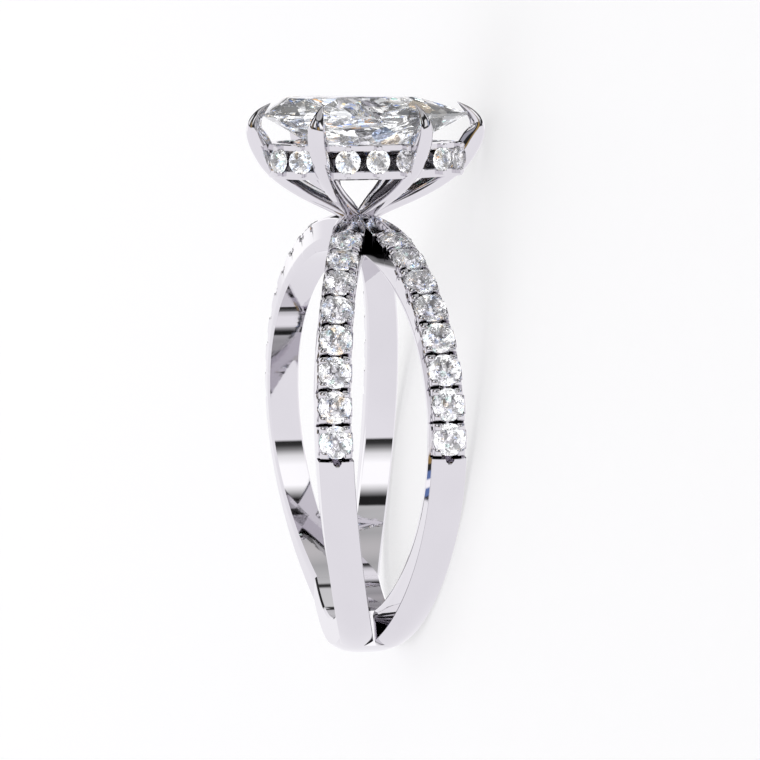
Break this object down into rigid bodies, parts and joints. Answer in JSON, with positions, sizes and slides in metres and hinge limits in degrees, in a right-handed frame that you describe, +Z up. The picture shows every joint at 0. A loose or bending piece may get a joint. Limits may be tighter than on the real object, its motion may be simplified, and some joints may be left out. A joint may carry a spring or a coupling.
{
  "type": "finger ring",
  "caption": "Finger ring lying on its side: the shank splits into two bands set with small stones and carries a pear cut stone in claws over a hidden halo.",
  "frame": {"origin": "centre of the bounding box in X and Y, at the height of the surface the ring lies on", "axes": "+X from the foot of the shank towards the table of the centre stone, +Y towards the back of the ring in the picture, +Z up; the finger axis lies 9.9 degrees off Z in the XZ plane"},
  "size_m": [0.0262, 0.0206, 0.0111],
  "materials": {
    "white_gold": "mirror polished rhodium plated white gold",
    "pear_diamond": "clear faceted diamond",
    "small_diamonds": "clear faceted diamond"
  },
  "bodies": {
    "root": {"shank_and_basket": "white_gold", "centre_stone": "pear_diamond", "halo_stones": "small_diamonds", "pave_row_front_left": "small_diamonds", "pave_row_front_right": "small_diamonds", "pave_row_back_left": "small_diamonds", "pave_row_back_right": "small_diamonds"}
  },
  "joints": []
}
